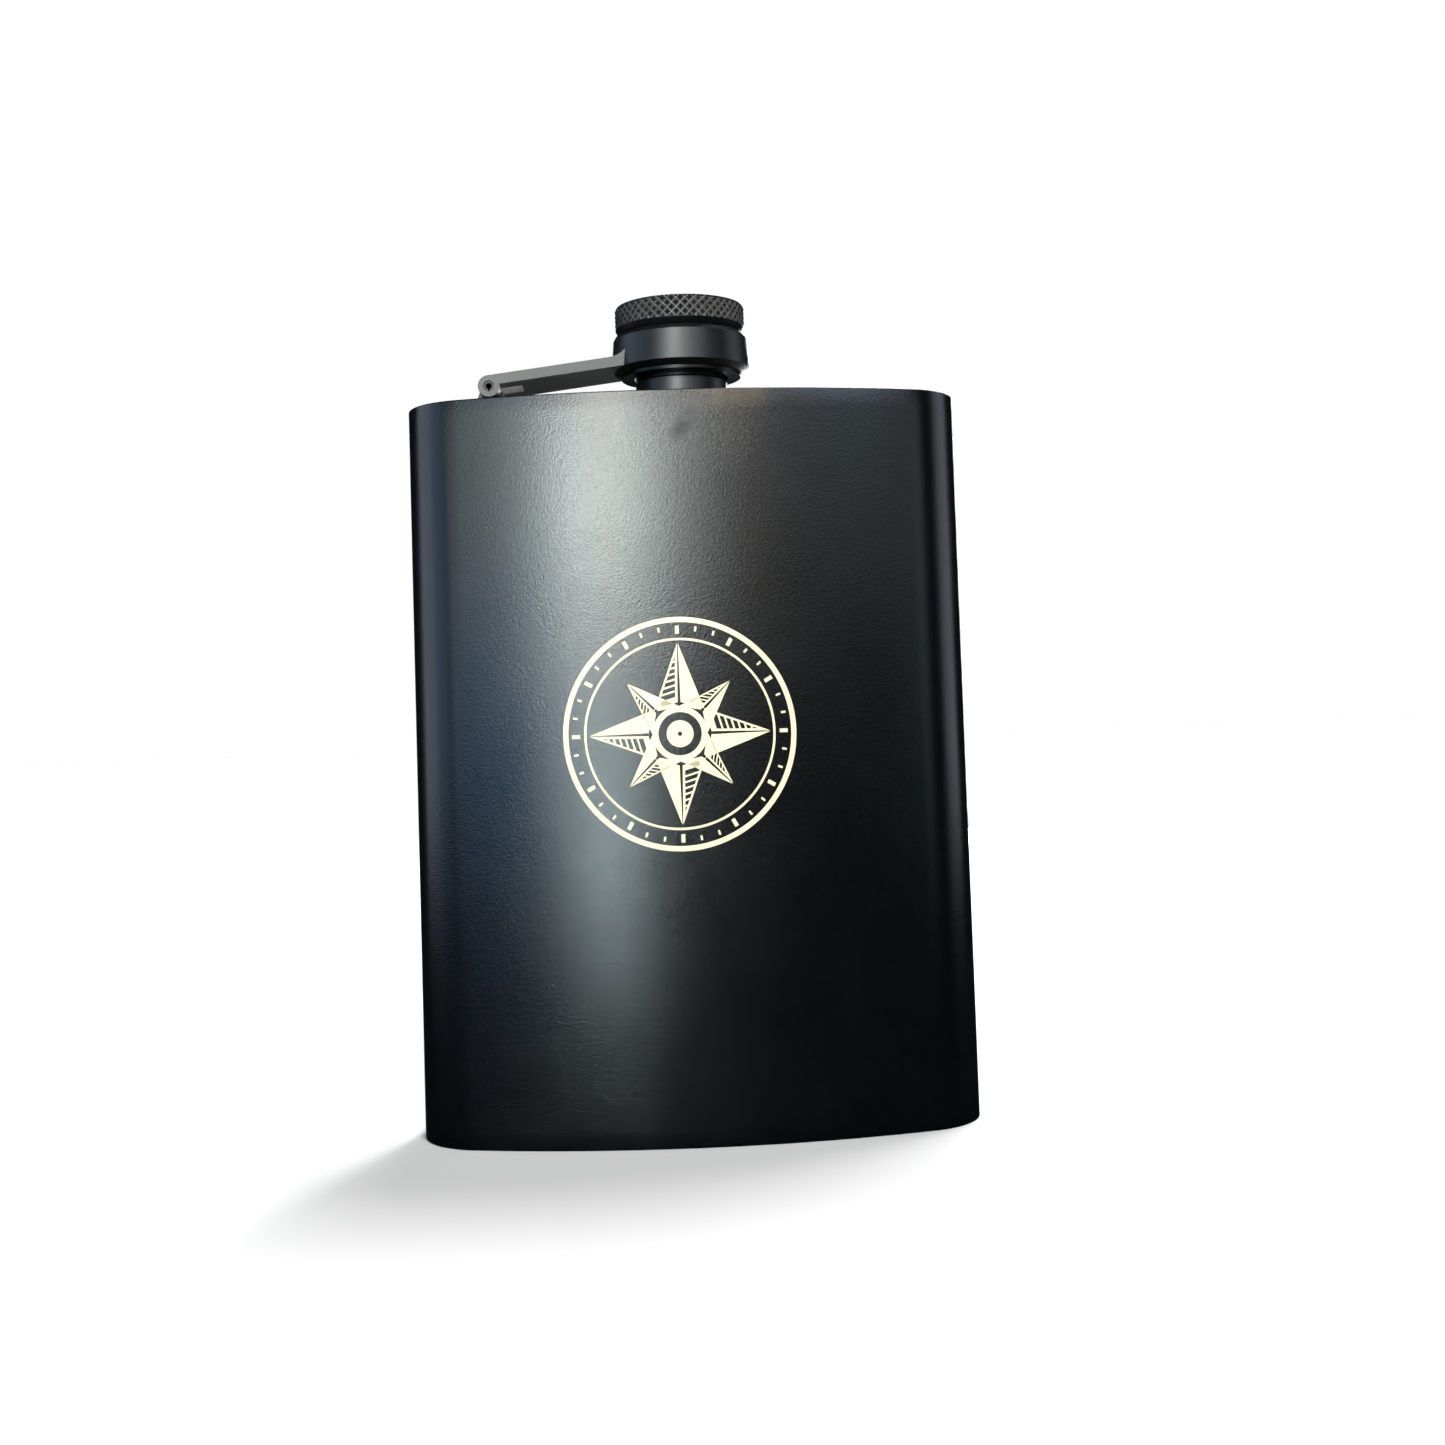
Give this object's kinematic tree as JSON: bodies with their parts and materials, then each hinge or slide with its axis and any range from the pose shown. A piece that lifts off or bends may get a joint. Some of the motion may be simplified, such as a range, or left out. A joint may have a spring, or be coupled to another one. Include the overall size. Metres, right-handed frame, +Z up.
{
  "type": "hip flask",
  "caption": "Curved pocket drinks flask of sheet steel, black coated, with a knurled screw cap held by a hinged arm.",
  "frame": {"origin": "centre of the base's footprint, at the surface the flask stands on", "axes": "+Z up through the neck, -Y out of the convex face with the engraving, +Y out of the hollow face that lies against the hip, -X towards the lid's hinge"},
  "size_m": [0.094, 0.027, 0.139],
  "materials": {
    "body_coat": "fine-grained satin powder coat",
    "lid_coat": "smooth satin coat over turned steel",
    "pin_steel": "darkened spring steel",
    "silicone": "matte"
  },
  "bodies": {
    "flask": {"body_sleeve": "body_coat", "top_pan": "body_coat", "bottom_pan": "body_coat", "neck": "body_coat", "hinge_bracket": "lid_coat", "hinge_pin": "pin_steel"},
    "arm": {"lid_arm": "lid_coat", "captive_ring": "lid_coat"},
    "cap": {"cap_insert": "lid_coat", "cap_gasket": "silicone", "cap_head": "lid_coat"}
  },
  "joints": [
    {"name": "arm_swing", "type": "hinge", "parent": "flask", "child": "arm", "pos_m": [-0.0322, -0.0017, 0.1252], "axis": [0, -1, 0], "range_deg": [0, 165]},
    {"name": "cap_turn", "type": "hinge", "parent": "arm", "child": "cap", "pos_m": [0, -0.0017, 0.135], "axis": [0, 0, 1], "continuous": true}
  ]
}
